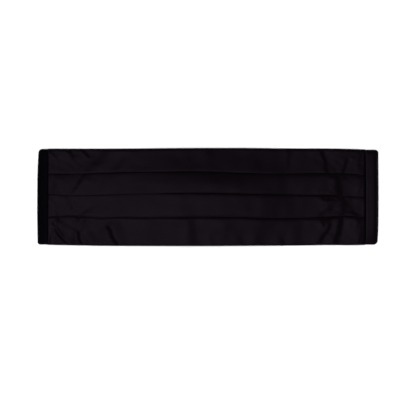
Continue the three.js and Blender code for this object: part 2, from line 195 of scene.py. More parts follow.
# %% Crease table
CREASE_ROWS = [
    # from x, from y, to x, to y, wide, deep
    (0.726, 0.94, 0.768, 0.52, 2.6, 0.17),
    (0.884, 0.72, 0.862, 0.44, 1.7, 0.12),
    (0.827, 0.40, 0.846, 0.06, 4.4, 0.20),
    (0.772, -0.26, 0.748, -0.32, 4.0, 0.17),
    (0.862, -0.02, 0.868, -0.28, 4.0, 0.17),
    (0.905, -0.20, 0.948, -0.34, 5.4, 0.15),
    (0.862, -0.315, 0.940, -0.345, 2.6, 0.10),
    (0.775, -0.60, 0.712, -0.97, 2.3, 0.18),
    (0.852, -0.47, 0.824, -0.90, 3.5, 0.22),
    (0.728, -0.46, 0.736, -0.54, 2.4, 0.10),
    (0.992, -0.82, 0.976, -0.97, 3.0, 0.22),
    (0.745, -0.040, 0.840, -0.050, 2.2, 0.09),
    (0.517, 0.95, 0.517, 0.66, 2.4, 0.05),
    (0.630, 0.86, 0.640, 0.60, 5.0, 0.05),
    (0.030, 0.98, 0.030, 0.60, 6.0, 0.10),
    (-0.110, 0.95, -0.100, 0.60, 7.0, 0.10),
    (-0.990, 0.94, -0.960, 0.86, 2.4, 0.10),
    (-0.866, 0.95, -0.845, 0.86, 2.4, 0.12),
    (-0.772, 0.95, -0.755, 0.87, 2.4, 0.12),
    (-0.650, 0.92, -0.715, 0.68, 7.4, -0.20),
    (-0.500, 0.90, -0.570, 0.60, 5.0, -0.10),
    (-0.430, 0.90, -0.420, 0.62, 6.0, 0.10),
    (-0.800, 0.36, -0.826, 0.20, 3.0, -0.20),
    (-0.955, 0.34, -0.978, 0.06, 3.4, -0.14),
    (-0.660, 0.30, -0.690, 0.14, 5.0, -0.08),
    (-0.872, -0.02, -0.850, -0.20, 3.0, 0.13),
    (-0.742, -0.255, -0.798, -0.40, 2.8, -0.18),
    (-0.962, -0.10, -0.940, -0.37, 3.4, 0.13),
    (-0.640, -0.10, -0.650, -0.30, 6.0, -0.08),
    (-0.962, -0.60, -0.885, -0.90, 1.3, -0.10),
    (-0.945, -0.70, -0.870, -0.95, 2.2, 0.20),
    (-0.804, -0.78, -0.784, -0.96, 2.6, 0.20),
    (-0.730, -0.74, -0.675, -0.85, 6.0, 0.14),
    (-0.920, -0.50, -0.860, -0.60, 4.4, 0.10),
    (-0.615, -0.66, -0.560, -0.96, 3.0, 0.22),
    (-0.980, -0.78, -0.980, -0.93, 2.4, 0.10),
    (-0.320, -0.56, -0.310, -0.96, 5.0, 0.10),
    (-0.080, -0.50, -0.070, -0.96, 6.5, 0.13),
    (0.035, -0.82, 0.055, -0.97, 2.6, 0.10),
    (0.130, -0.48, 0.120, -0.96, 7.0, 0.11),
    (0.215, -0.84, 0.240, -0.97, 2.6, 0.10),
    (0.370, -0.58, 0.350, -0.94, 6.0, 0.09),
    (0.475, -0.86, 0.495, -0.97, 2.4, 0.08),
]
print(len(CREASE_ROWS), "creases")


# %% What the cloth lies on
def fall(value, inner, outer):
    """1 up to inner and 0 from outer on, along the curve 1 - (6t^5 - 15t^4 + 10t^3) between them."""
    t = np.clip((value - inner) / (outer - inner), 0, 1)
    return 1 - t**3 * (t * (6 * t - 15) + 10)


REST_WIDTH = 3
RAMP_ROUNDING = 0.2
RAMP_POWER = 1.2
EDGE_LIFT = 1.5
PLATEAU = 1.5
SETTLE_LENGTH = 110
CLASP_HALF_WIDTH = clasp_high[1]
OVER_STRAP = STRAP_THICK + CLEARANCE
OVER_CLASP = CLASP_TOP + CLEARANCE + OVER_STRAP


def settle(value, inner, outer):
    """1 up to inner and 0 from outer on, along (1 - u)^power between them, where u = t^2 (1 + r) / (t + r)
    rounds the start: steep beside the clasp and ever flatter outwards, as stiff cloth comes to rest."""
    t = np.clip((value - inner) / (outer - inner), 0, 1)
    rounded = t**2 * (1 + RAMP_ROUNDING) / (t + RAMP_ROUNDING)
    return (1 - rounded) ** RAMP_POWER


def underside(x, y):
    """Height of what the cloth lies on: the ridge over the straps, which rises to the clasp's height near
    x = 0, settling from the clasp's half width outwards to the strip along each edge. The edges rest, but
    for a little lift beside the clasp, where the cloth is too stiff to bend down all the way."""
    near_clasp = fall(np.abs(x), CLASP_HALF + PLATEAU, CLASP_HALF + SETTLE_LENGTH)
    ridge = OVER_STRAP + (OVER_CLASP - OVER_STRAP) * near_clasp
    edge = EDGE_LIFT * near_clasp
    return edge + (ridge - edge) * settle(np.abs(y), CLASP_HALF_WIDTH, HALF_HEIGHT - REST_WIDTH)


def inward_of(x):
    """Distance in from the nearer seam."""
    return np.minimum(x - LEFT_SEAM, RIGHT_SEAM - x)


def lap_lift(x):
    """One layer's height where the panel's ends lie on the bands' back plies, falling to nothing inward."""
    return PITCH * fall(inward_of(x), BAND_LAP + PLATEAU, 2 * BAND_LAP + PLATEAU)


print("the cloth lies", round(float(underside(0.0, 0.0)), 1), "mm up over the clasp")

# %% How the creases shape it
CREASE_DEPTH = 1.9
STEP_REACH = 4.0
VALLEY_PART = 0.5
FADE_REACH = 2.2
DEEPEST = 0.5
HIGHEST = 0.7
WANDER = 0.9
WANDER_FINE = 0.6
# length of the long sine, its phase, length of the fine sine, length over which it slants
WANDER_X = (4.9, 0.6, 2.3, 9.0)
WANDER_Y = (6.1, 0.0, 2.9, 8.0)


def wandered(along, aside, lengths):
    """WANDER * (sin(along / long + phase) + WANDER_FINE * sin(along / fine + aside / slant))."""
    long, phase, fine, slant = lengths
    return WANDER * (np.sin(along / long + phase) + WANDER_FINE * np.sin(along / fine + aside / slant))


def crease_share(x, y):
    """Sum over the creases of -deep * (tanh(d) * exp(-(d / reach)^2) + valley * exp(-d^2)), where d is the
    distance to the crease's line over its width: one steep face between a ridge and a valley that
    flatten out slowly. The face looks to the right, or to the left where deep is negative. The line
    wanders by two sines, and past its ends it fades."""
    x_here = x + wandered(y, x, WANDER_X)
    y_here = y + wandered(x, y, WANDER_Y)
    total = np.zeros_like(x)
    for from_x, from_y, to_x, to_y, wide, deep in CREASE_ROWS:
        ax, bx = PANEL_CENTRE + from_x * PANEL_HALF, PANEL_CENTRE + to_x * PANEL_HALF
        ay, by = from_y * HALF_HEIGHT, to_y * HALF_HEIGHT
        length = math.hypot(bx - ax, by - ay)
        along = ((x_here - ax) * (bx - ax) + (y_here - ay) * (by - ay)) / length
        past_end = np.maximum(np.maximum(-along, along - length), 0) / (FADE_REACH * wide)
        aside = ((bx - ax) * (y_here - ay) - (by - ay) * (x_here - ax)) / length / wide
        step = deep * np.tanh(aside) * np.exp(-((aside / STEP_REACH) ** 2))
        valley = abs(deep) * VALLEY_PART * np.exp(-(aside**2))
        total -= CREASE_DEPTH * (step + valley) * np.exp(-(past_end**2))
    return np.clip(total, -DEEPEST, HIGHEST)


# %% Waves and crumples
WAVES = [
    # length along x, length along y, phase, height share
    (64.0, 210.0, 0.4, 0.060),
    (41.0, -150.0, 2.1, 0.048),
    (27.0, 95.0, 4.4, 0.036),
    (17.5, -70.0, 1.2, 0.022),
    (90.0, 31.0, 3.0, 0.030),
]
CRUMPLES = [
    # length along x, length along y, phase, height share
    (13.0, 31.0, 0.9, 0.018),
    (-10.5, 19.0, 2.7, 0.015),
    (8.5, -14.0, 5.1, 0.010),
    (21.0, 11.0, 3.6, 0.016),
]
CRUMPLED_TO = 25
SMOOTH_FROM = 95
# how far the crumples bend, and over what length
BEND_X, BEND_X_LENGTH = 2.6, 7.3
BEND_Y, BEND_Y_LENGTH = 2.2, 9.1


def wave_sum(x, y, waves):
    """Sum over the waves of height * sin(2 pi (x / length_x + y / length_y) + phase)."""
    total = np.zeros_like(x)
    for length_x, length_y, phase, height in waves:
        total += height * np.sin(2 * math.pi * (x / length_x + y / length_y) + phase)
    return total


def wave_share(x, y):
    """Long soft waves all along the satin, and small crumples that fade away from the seams."""
    near_seam = fall(inward_of(x), CRUMPLED_TO, SMOOTH_FROM)
    bent_x = x + BEND_X * np.sin(y / BEND_X_LENGTH)
    bent_y = y + BEND_Y * np.sin(x / BEND_Y_LENGTH)
    return wave_sum(x, y, WAVES) + near_seam * wave_sum(bent_x, bent_y, CRUMPLES)


# %% What sewing does, and all of it together
STITCH_INSET = 4.8
STITCH_VALLEY = 1.0
STITCH_DEPTH = 0.03
# at the left and at the right seam
END_ROLL = (0.9, 3.3)
END_LEFT = (0.75, 0.24)
PUCKER_LENGTH = 5.4
PUCKER_REACH = 7.0
PUCKER_SHARE = 0.02
PUCKER_DRIFT, PUCKER_DRIFT_LENGTH = 1.7, 9.0


def seam_share(x, y):
    """What sewing does near the seams: a valley under the line of stitches, small puckers that fade
    inward, and the turned end, which rolls down along a quarter ellipse over its last millimetres."""
    inward = inward_of(x)
    valley = 1 - STITCH_DEPTH * np.exp(-(((inward - STITCH_INSET) / STITCH_VALLEY) ** 2))
    phase = 2 * math.pi * y / PUCKER_LENGTH + PUCKER_DRIFT * np.sin(y / PUCKER_DRIFT_LENGTH)
    puckers = 1 + PUCKER_SHARE * np.sin(phase) * np.exp(-np.abs(inward - STITCH_INSET) / PUCKER_REACH)
    on_left = x < PANEL_CENTRE
    reach, left_over = np.where(on_left, *END_ROLL), np.where(on_left, *END_LEFT)
    t = np.clip(1 - inward / reach, 0, 1)
    roll = left_over + (1 - left_over) * np.sqrt(1 - t**2)
    return valley * puckers * roll


def swell_at(x, y):
    """How much the plies swell upwards: looser away from the seams, shaped by creases, waves and seams."""
    loft = 1 + LOFT * (1 - fall(inward_of(x), 0, LOFT_LENGTH))
    return loft * (1 + crease_share(x, y)) * (1 + wave_share(x, y)) * seam_share(x, y)


# %% [markdown]
# ## One folded line, carried along the panel
# The pleats are real folds in one piece of cloth. Its line goes up the back, over the top edge, down
# the first pleat to its fold, back up under itself, down again into the second pleat, and so on round
# the bottom edge into the hem. Building that line and sweeping it from seam to seam gives true dark
# gaps under each fold, which a carved relief would not.

# %% Helpers that collect the line, column by column
def ease_out(t, climb):
    """(1 - exp(-t / climb)) / (1 - exp(-1 / climb)): steep at first, almost level for the rest."""
    return (1 - np.exp(-t / climb)) / (1 - np.exp(-1 / climb))


LEVEL_AT = 0.85
LEVEL_REACH = 0.05


def climbed_share(t, climb, even):
    """(1 - even) * ease_out + even * straight, where straight goes up in proportion to t and turns level
    softly at LEVEL_AT: 1 - LEVEL_REACH / LEVEL_AT * ln(1 + exp((LEVEL_AT - t) / LEVEL_REACH))."""
    straight = 1 - LEVEL_REACH / LEVEL_AT * np.log1p(np.exp((LEVEL_AT - t) / LEVEL_REACH))
    return (1 - even) * ease_out(t, climb) + even * straight


INSIDE_PART = 0.85


class FoldedLine:
    """Columns of (y, height) for every station at once, with the thickness to either side of the line. A
    column is a place on the folded line."""

    def __init__(self, count):
        self.count = count
        self.columns = [[], [], [], []]

    def add(self, y, height, first=CLOTH / 2, second=CLOTH / 2):
        """A column at y and height, with the half thickness to its first and its second side."""
        for columns, value in zip(self.columns, (y, height, first, second)):
            columns.append(np.broadcast_to(value, (self.count,)).astype(float))

    def add_turn(self, tip, out, from_height, to_height, reach, steps):
        """Half an ellipse from one height to the other whose far point reaches tip on the side of out.
        The two sides of the turn come together at its tip, so the cloth is thinner on the inside there:
        no more than INSIDE_PART of the distance from the line to the middle of the turn."""
        centre = tip - out * reach
        opens_first = out * (np.max(to_height) - np.max(from_height)) > 0
        for i in range(steps + 1):
            angle = math.pi * i / steps
            swing = math.cos(angle) * (from_height - to_height) / 2
            along = (reach - CLOTH / 2) * math.sin(angle)
            inside = np.minimum(CLOTH / 2, INSIDE_PART * np.abs(swing))
            first, second = (inside, CLOTH / 2) if opens_first else (CLOTH / 2, inside)
            self.add(centre + out * along, (from_height + to_height) / 2 + swing, first, second)

    def add_ply(self, start, end, heights, climb, even, steps, covered):
        """A visible ply from start to end, by low + (high - low) * climbed_share. It lies flat as far as
        it is covered by the fold above it, and stands up right beside that fold."""
        low, high = heights
        past = covered / (start - end)
        if covered > 0:
            self.add(start - covered, low)
            steps = np.concatenate([[0], steps])
        for t in steps:
            share = past + (1 - past) * t
            self.add(start + (end - start) * share, low + (high - low) * climbed_share(share, climb, even))

    def grids(self):
        """Four grids of (stations, columns): y, height and the two half thicknesses."""
        return [np.stack(columns, axis=1) for columns in self.columns]


# %% The line itself
FOLD_REACH = 2.9
FOLD_RISE = 1.0
HIDDEN_REACH = 0.85
TOP_REACH = 4.6
TOP_SPAN = 2.1
BOTTOM_REACH = 3.6
BOTTOM_SPAN = 2.2
FIRST_CLIMB = 0.6
VISIBLE_STEPS = 22
HIDDEN_STEPS = 3
BACK_STEPS = 4
EDGE_STEPS = 12
FOLD_STEPS = 9
HIDDEN_TURN_STEPS = 4
STEP_CROWDING = 1.25


def folded_line(edges, opens, climbs, evens):
    """The line of the cloth at every station. edges holds the y of the top, the three folds and the
    bottom, opens how far each fold stands open, climbs how slowly each ply climbs and evens how evenly,
    over the stations. Heights are layers of PITCH above the surface, and each visible ply climbs from
    beside the fold above it to the top of its own fold."""
    top, one, two, three, bottom = edges
    ply = [CLOTH / 2 + layer * PITCH for layer in range(4)]
    fold_tops = [ply[3] + FOLD_RISE * np.maximum(share, 0) for share in opens]
    line = FoldedLine(len(top))
    hem_top = bottom + HEM_DEPTH
    hem_climb = hem_top + HEM_RISE
    visible_steps = np.linspace(0, 1, VISIBLE_STEPS + 2)[1:-1] ** STEP_CROWDING

    line.add(hem_top - HEM_COVER, ply[1])
    line.add(hem_top + GAP, ply[1])
    for t in np.linspace(0, 1, BACK_STEPS):
        line.add(hem_top + GAP * 2 + (HEM_RISE - GAP * 2) * t, ply[1] + (ply[0] - ply[1]) * t)
    stops = [hem_climb, three, two, one, top - 2 * TOP_REACH]
    for start, end in zip(stops, stops[1:]):
        for t in np.linspace(0, 1, BACK_STEPS + 1)[1:]:
            line.add(start + (end - start) * t, ply[0])
    top_height = ply[0] + TOP_SPAN
    line.add_turn(top, 1, ply[0], top_height, TOP_REACH, EDGE_STEPS)

    start, start_height, covered = top - TOP_REACH, top_height, 0
    for fold, fold_top, climb, even in zip((one, two, three), fold_tops, climbs, evens):
        crown = fold + FOLD_REACH
        line.add_ply(start, crown, (start_height, fold_top), climb, even, visible_steps, covered)
        line.add_turn(fold, -1, fold_top, ply[2], FOLD_REACH, FOLD_STEPS)
        back_fold = fold + UNDERLAP
        for t in np.linspace(0, 1, HIDDEN_STEPS + 2)[1:-1]:
            line.add(crown + (back_fold - HIDDEN_REACH - crown) * t, ply[2])
        line.add_turn(back_fold, 1, ply[2], ply[1], HIDDEN_REACH, HIDDEN_TURN_STEPS)
        turned = back_fold - HIDDEN_REACH
        start, start_height, covered = fold + HIDDEN_REACH, ply[1], HIDDEN_REACH + PITCH - CLOTH / 2
        for t in np.linspace(0, 1, HIDDEN_STEPS + 2)[1:]:
            line.add(turned + (start - turned) * t, ply[1])

    crown = bottom + BOTTOM_REACH
    bottom_height = ply[0] + BOTTOM_SPAN
    line.add_ply(start, crown, (start_height, bottom_height), climbs[-1], 0, visible_steps, covered)
    line.add_turn(bottom, -1, bottom_height, ply[0], BOTTOM_REACH, EDGE_STEPS)
    for t in np.linspace(0, 1, BACK_STEPS)[1:]:
        line.add(crown + (hem_top - crown) * t, ply[0])
    return line


# %% From a line to a wall of cloth
SHARPEST = 0.5
TINY = 1e-9


def offset_faces(y, height, first_half, second_half):
    """Two copies of the line, half a thickness to either side. Each point moves along the line's normal,
    by half / cos(a), where a is half the angle that the line turns there, so that walls stay even. The
    cosine counts as SHARPEST at least."""
    step = np.stack([np.diff(y, axis=1), np.diff(height, axis=1)], axis=2)
    heading = step / np.maximum(np.linalg.norm(step, axis=2, keepdims=True), TINY)
    into = np.concatenate([heading[:, :1], heading], axis=1)
    out_of = np.concatenate([heading, heading[:, -1:]], axis=1)
    along = into + out_of
    along /= np.linalg.norm(along, axis=2, keepdims=True)
    longer = 1 / np.maximum(np.sum(along * into, axis=2), SHARPEST)
    reaches = (first_half * longer, -second_half * longer)
    return [(y - along[..., 1] * reach, height + along[..., 0] * reach) for reach in reaches]


# %% From two faces to a mesh
def place_object(name, data):
    """Puts an object with this mesh or camera into the scene."""
    placed = bpy.data.objects.new(name, data)
    bpy.context.collection.objects.link(placed)
    return placed


def wall_mesh(name, face, back, uv):
    """A closed wall from two grids of points, face and back, each (rows, columns, 3) in millimetres. uv
    gives (rows, columns, 2) in metres. The two grids are joined round their border."""
    rows, columns, _ = face.shape
    points = np.concatenate([face.reshape(-1, 3), back.reshape(-1, 3)]) * MM
    number = np.arange(rows * columns).reshape(rows, columns)
    a, b = number[:-1, :-1].ravel(), number[1:, :-1].ravel()
    c, d = number[1:, 1:].ravel(), number[:-1, 1:].ravel()
    under = rows * columns
    front_quads = np.stack([a, b, c, d], axis=1)
    back_quads = np.stack([a, d, c, b], axis=1) + under
    rim = np.concatenate([number[0, :], number[1:, -1], number[-1, -2::-1], number[-2:0:-1, 0]])
    after = np.roll(rim, -1)
    rim_quads = np.stack([rim, after, after + under, rim + under], axis=1)
    quads = np.concatenate([front_quads, back_quads, rim_quads])

    first = points[quads[:, 0]]
    spread = np.cross(points[quads[:, 2]] - first, points[quads[:, 3]] - points[quads[:, 1]])
    if np.sum(first * spread) < 0:
        quads = quads[:, ::-1]

    mesh = bpy.data.meshes.new(name)
    mesh.vertices.add(len(points))
    mesh.vertices.foreach_set("co", points.ravel())
    mesh.loops.add(quads.size)
    mesh.loops.foreach_set("vertex_index", quads.ravel())
    mesh.polygons.add(len(quads))
    mesh.polygons.foreach_set("loop_start", np.arange(0, quads.size, 4))
    mesh.polygons.foreach_set("loop_total", np.full(len(quads), 4))
    smooth = np.ones(len(quads), dtype=bool)
    smooth[len(front_quads) + len(back_quads):] = False
    mesh.polygons.foreach_set("use_smooth", smooth)
    mesh.update(calc_edges=True)
    layer = mesh.uv_layers.new(name="UVMap")
    uv_all = np.concatenate([uv.reshape(-1, 2), uv.reshape(-1, 2)])
    layer.data.foreach_set("uv", uv_all[quads.ravel()].ravel())
    mesh.validate()
    print(name, len(quads) * 2, "triangles")
    return place_object(name, mesh)


def arc_lengths(y, height):
    """Length along the line up to each column, in millimetres, at the middle station."""
    middle = len(y) // 2
    steps = np.hypot(np.diff(y[middle]), np.diff(height[middle]))
    return np.concatenate([[0], np.cumsum(steps)])


# %% The panel
STATION_RUNS = [
    # from, to, as shares of the panel's half length, and the steps between
    (-1.0, -0.97, 9),
    (-0.97, -0.53, 70),
    (-0.53, 0.48, 58),
    (0.48, 0.68, 22),
    (0.68, 0.97, 48),
    (0.97, 1.0, 9),
]
runs = [np.linspace(start, end, steps, endpoint=False) for start, end, steps in STATION_RUNS]
places = np.concatenate(runs + [[1.0]])
shares = section_at(places)
edges = [shares[name] * HALF_HEIGHT for name in SECTION_COLUMNS[1:]]
folds = open_at(places)
opens = [folds[name] for name in OPEN_COLUMNS[1:4]]
climbs = [FIRST_CLIMB, folds["climb_two"], folds["climb_three"], folds["climb_last"]]
evens = [0, folds["even_two"], 0]
line = folded_line(edges, opens, climbs, evens)
line_y, line_height, first_half, second_half = line.grids()
station_x = (PANEL_CENTRE + places * PANEL_HALF)[:, None]


def lay(grid):
    """Lays a grid of (y, height) on what is under it: z = underside + lap + height * swell."""
    y, height = grid
    x = np.broadcast_to(station_x, y.shape)
    return np.stack([x, y, underside(x, y) + lap_lift(x) + height * swell_at(x, y)], axis=2)


face, back = offset_faces(line_y, line_height, first_half, second_half)
along_line = arc_lengths(line_y, line_height)
panel_uv = np.stack(np.broadcast_arrays(station_x, along_line[None, :]), axis=2) * MM
panel = wall_mesh("satin_panel", lay(face), lay(back), panel_uv)

# %% [markdown]
# ## The end bands
# A strip of the same satin is folded over each end of the pleats and sewn. The right band lies level.
# The left one slopes down to its outer edge, and its satin is a copy of the same satin that mirrors less
# and is darker, painted shade in its base colour, tint and specular level, so from above it looks almost
# black. Each is a folded line across the band, from the seam round the outer edge to a tongue under the
# panel, carried from the bottom edge to the top edge.

# %% Sizes of the bands and where their stations lie
BAND_EDGE_SPAN = 1.6
BAND_PUFF = {"left": 2.9, "right": 3.4}
BAND_DROOP = {"left": (0.0, 0.0), "right": (0.80, 0.30)}
DROOP_LENGTHS = (30, 20)
BAND_STREAKS = {"left": 0.03, "right": 0.004}
BAND_PINCH = 0.4
BAND_PINCH_LENGTH = 7
BAND_SHOULDER = 0.5
BAND_CORNERS = {"left": (2.9, 4.6), "right": (5.0, 4.0)}
BAND_STEPS = 130
CORNER_STEPS = 8
BAND_FRONT_STEPS = 25
BAND_TURN_STEPS = 8
BAND_TONGUE_STEPS = 9
STREAK_TURN = 2.6
STREAK_SWAY, STREAK_SWAY_LENGTH = 0.8, 17.0
STREAKED_ABOVE = 2


def band_places(bottom, top, corners):
    """Places from bottom to top: even steps between, and steps along a quarter circle at each corner."""
    quarter = np.linspace(0, math.pi / 2, CORNER_STEPS, endpoint=False)
    low = bottom + corners[0] * (1 - np.cos(quarter))
    middle = np.linspace(bottom + corners[0], top - corners[1], BAND_STEPS)
    high = top - corners[1] * (1 - np.cos(quarter[::-1]))
    return np.concatenate([low, middle, high])


# %% The bands
def band_piece(name, side, seam, width):
    """A band: its front ply's height is the band's profile times its puff, pinched towards the two ends
    and drooping outwards near them; its reach out from the seam follows the reach table, less the quarter
    circle of each corner."""
    sign = -1 if side == "left" else 1
    end = section_at(float(sign))
    top = float(end["top"]) * HALF_HEIGHT - BAND_SHOULDER
    bottom = float(end["bottom"]) * HALF_HEIGHT + BAND_SHOULDER
    corners = BAND_CORNERS[side]
    y = band_places(bottom, top, corners)
    pinch = 1 - (1 - BAND_PINCH) * fall(np.minimum(top - y, y - bottom), 0, BAND_PINCH_LENGTH)
    cut, droop = np.zeros_like(y), np.zeros_like(y)
    ends = zip((y - bottom, top - y), corners, BAND_DROOP[side], DROOP_LENGTHS)
    for from_end, corner, share, length in ends:
        past = np.clip(1 - from_end / corner, 0, 1)
        cut += corner * (1 - np.sqrt(1 - past**2))
        droop += share * fall(from_end, 0, length)
    stretch = reach_at(2 * y / (top - bottom))[side] - cut / width

    low_ply = CLOTH / 2
    edge_reach = BAND_EDGE_SPAN / 2 + CLOTH / 2
    line = FoldedLine(len(y))
    for share in np.linspace(0, 1, BAND_FRONT_STEPS + 1)[:-1]:
        puff = BAND_PUFF[side] * profile_at(share)[side]
        span = BAND_EDGE_SPAN + (puff - BAND_EDGE_SPAN) * pinch * (1 - droop * share)
        line.add(GAP + (width - edge_reach - GAP) * share, low_ply + span)
    line.add_turn(width, 1, low_ply + BAND_EDGE_SPAN, low_ply, edge_reach, BAND_TURN_STEPS)
    for out in np.linspace(width - edge_reach, -BAND_LAP, BAND_TONGUE_STEPS + 1)[1:]:
        line.add(out, low_ply)
    out, height = line.grids()[:2]
    grids = []
    for grid_out, grid_height in offset_faces(out, height, CLOTH / 2, CLOTH / 2):
        stretched = np.where(grid_out > GAP, grid_out * stretch[:, None], grid_out)
        x = seam + sign * stretched
        y_grid = np.broadcast_to(y[:, None], x.shape)
        sink = fall(grid_out, 0, width) if side == "left" else 1.0
        sway = STREAK_SWAY * np.sin(y_grid / STREAK_SWAY_LENGTH)
        on_front = grid_height > STREAKED_ABOVE
        streaks = 1 + BAND_STREAKS[side] * np.sin(grid_out * STREAK_TURN + sway) * on_front
        grids.append(np.stack([x, y_grid, underside(x, y_grid) * sink + grid_height * streaks], axis=2))
    lengths = arc_lengths(out, height)
    uv = np.stack(np.broadcast_arrays(y[:, None], lengths[None, :]), axis=2) * MM
    piece = wall_mesh(name, grids[0], grids[1], uv)
    return piece, ((top - bottom) * MM, lengths[-1] * MM)


band_left, LEFT_CUT = band_piece("satin_band_left", "left", LEFT_SEAM, LEFT_BAND)
band_right, RIGHT_CUT = band_piece("satin_band_right", "right", RIGHT_SEAM, RIGHT_BAND)

# %% [markdown]
# ## The straps and the clasp
# They are hidden behind the panel, so they are plain: flat webbing that comes out from under each band,
# passes up through a slot of the clasp and lies back over itself. The webbing is a rounded section
# carried along the same path as the solid's, and the clasp stays the solid with a metal finish.

# %% Straps
CLASP_BAR = 4.5
TURNBACK = 22
RUN_POINTS = 40
BAR_POINTS = 13
BACK_POINTS = 14
WIDTH_POINTS = 25
# shares of the turned back end between which it comes down on to the strap
DOWN_FROM, DOWN_TO = 0.05, 0.6
THINNEST_RIM = 0.12


def strap_path(outer):
    """Points (x, height) of the webbing's middle: in along the surface, half a circle up round the bar of
    the clasp, and back down on to itself."""
    low = STRAP_THICK / 2
    over_bar = CLASP_TOP + CLEARANCE + low
    on_strap = OVER_STRAP + low
    bar_inner = CLASP_HALF - CLASP_BAR
    radius = (over_bar - low) / 2
    angle = np.linspace(0, math.pi, BAR_POINTS)
    turn = np.stack([bar_inner - radius * np.sin(angle), low + radius * (1 - np.cos(angle))], axis=1)
    run_x = np.linspace(outer, CLASP_HALF + CLEARANCE, RUN_POINTS)
    run_in = np.stack([run_x, np.full(RUN_POINTS, low)], axis=1)
    t = np.linspace(0, 1, BACK_POINTS)
    back_x = CLASP_HALF + CLEARANCE + (TURNBACK - CLEARANCE) * t
    back_height = over_bar + (on_strap - over_bar) * (1 - fall(t, DOWN_FROM, DOWN_TO))
    return np.concatenate([run_in, turn, np.stack([back_x, back_height], axis=1)])


def strap_piece(name, sign, outer):
    """A flat band with half-round edges carried along the strap's path. Its section is a rectangle of the
    strap's width less two half rounds of half its thickness."""
    path = strap_path(outer)
    heading = np.gradient(path, axis=0)
    heading /= np.linalg.norm(heading, axis=1, keepdims=True)
    normal = np.stack([heading[:, 1], -heading[:, 0]], axis=1)
    half = STRAP_THICK / 2
    flat = STRAP_WIDTH / 2 - half
    upper_y = np.linspace(-STRAP_WIDTH / 2, STRAP_WIDTH / 2, WIDTH_POINTS)
    rim = np.sqrt(np.clip(half**2 - np.clip(np.abs(upper_y) - flat, 0, half) ** 2, 0, None))
    rim = np.maximum(rim, half * THINNEST_RIM)
    grids = []
    for side in (1, -1):
        x = sign * (path[:, :1] + normal[:, :1] * rim * side)
        z = path[:, 1:] + normal[:, 1:] * rim * side
        grids.append(np.stack(np.broadcast_arrays(x, upper_y[None, :], z), axis=2))
    lengths = arc_lengths(path[None, :, 0], path[None, :, 1])
    uv = np.stack(np.broadcast_arrays(lengths[:, None], upper_y[None, :]), axis=2) * MM
    return wall_mesh(name, grids[0], grids[1], uv)


strap_left = strap_piece("webbing_left", -1, -LEFT_SEAM)
strap_right = strap_piece("webbing_right", 1, strap_high[0])

# %% [markdown]
# ## Stitches
# A line of black topstitching holds each end of the panel down on its band. Each stitch is a small
# capsule that sinks into the satin at both ends, and a line of them is one joined mesh.

# %% Stitch lines
STITCH_LENGTH = 2.3
STITCH_STEP = 3.1
STITCH_RADIUS = 0.24
STITCH_RINGS = 6
STITCH_SIDES = 6
STITCH_DIP = 2.0
STITCH_TAPER = 0.02
STITCH_ROUNDING = 0.35
STITCH_FROM_BOTTOM = 3
STITCH_FROM_TOP = 4
SEARCH_STEP = 0.5


def top_height(x, y):
    """Height of the panel's upper surface at y: the upper envelope, over fine steps of y, of the two faces
    at the nearest station."""
    station = int(np.argmin(np.abs(station_x[:, 0] - x)))
    cloud = np.concatenate([lay(face)[station], lay(back)[station]])
    bins = np.round(cloud[:, 1] / SEARCH_STEP).astype(int)
    low_bin = bins.min()
    envelope = np.full(bins.max() - low_bin + 1, -1.0)
    np.maximum.at(envelope, bins - low_bin, cloud[:, 2])
    centre = (np.arange(len(envelope)) + low_bin) * SEARCH_STEP
    seen = envelope > 0
    return np.interp(y, centre[seen], envelope[seen])


def stitch_line(name, x, bottom, top):
    """Capsules along y: ring radius r * sin(pi t)^STITCH_ROUNDING with t from end to end, centres
    following the cloth and dipping at both ends by STITCH_DIP times the radius."""
    starts = np.arange(bottom, top - STITCH_LENGTH, STITCH_STEP)
    t = np.linspace(0, 1, STITCH_RINGS)
    angle = np.linspace(0, 2 * math.pi, STITCH_SIDES, endpoint=False)
    centre_y = starts[:, None] + STITCH_LENGTH * t[None, :]
    dip = STITCH_DIP * STITCH_RADIUS * (2 * t - 1) ** 4
    centre_z = top_height(x, centre_y) - dip
    tapered = np.sin(math.pi * np.clip(t, STITCH_TAPER, 1 - STITCH_TAPER))
    radius = STITCH_RADIUS * tapered**STITCH_ROUNDING
    px = x + radius[:, None] * np.cos(angle) + np.zeros_like(centre_y)[..., None]
    py = centre_y[..., None] + np.zeros_like(px)
    pz = centre_z[..., None] + radius[:, None] * np.sin(angle)
    points = np.stack([px, py, pz], axis=3).reshape(-1, 3) * MM
    count = len(starts)
    number = np.arange(count * STITCH_RINGS * STITCH_SIDES).reshape(count, STITCH_RINGS, STITCH_SIDES)
    around = np.roll(number, -1, axis=2)
    quads = np.stack([number[:, :-1], around[:, :-1], around[:, 1:], number[:, 1:]], axis=3).reshape(-1, 4)
    caps = np.concatenate([number[:, 0, ::-1], number[:, -1, :]])
    mesh = bpy.data.meshes.new(name)
    mesh.from_pydata(points.tolist(), [], quads.tolist() + caps.tolist())
    mesh.polygons.foreach_set("use_smooth", np.ones(len(mesh.polygons), dtype=bool))
    mesh.update()
    print(name, count, "stitches")
    return place_object(name, mesh)


stitches = []
for side, sign, x in (("left", -1.0, LEFT_SEAM + STITCH_INSET), ("right", 1.0, RIGHT_SEAM - STITCH_INSET)):
    end = section_at(sign)
    low = float(end["bottom"]) * HALF_HEIGHT + STITCH_FROM_BOTTOM
    high = float(end["top"]) * HALF_HEIGHT - STITCH_FROM_TOP
    stitches.append(stitch_line(f"topstitch_{side}", x, low, high))

# %% [markdown]
# ## Black satin
# Satin shines because its threads float over several others in one direction. Up close it is fine
# parallel threads; from further off it is a broad soft highlight that runs across them. A node group
# makes the threads as bump and slight changes of shade and gloss, and each material keeps its own
# Principled shader with a very dark base colour.

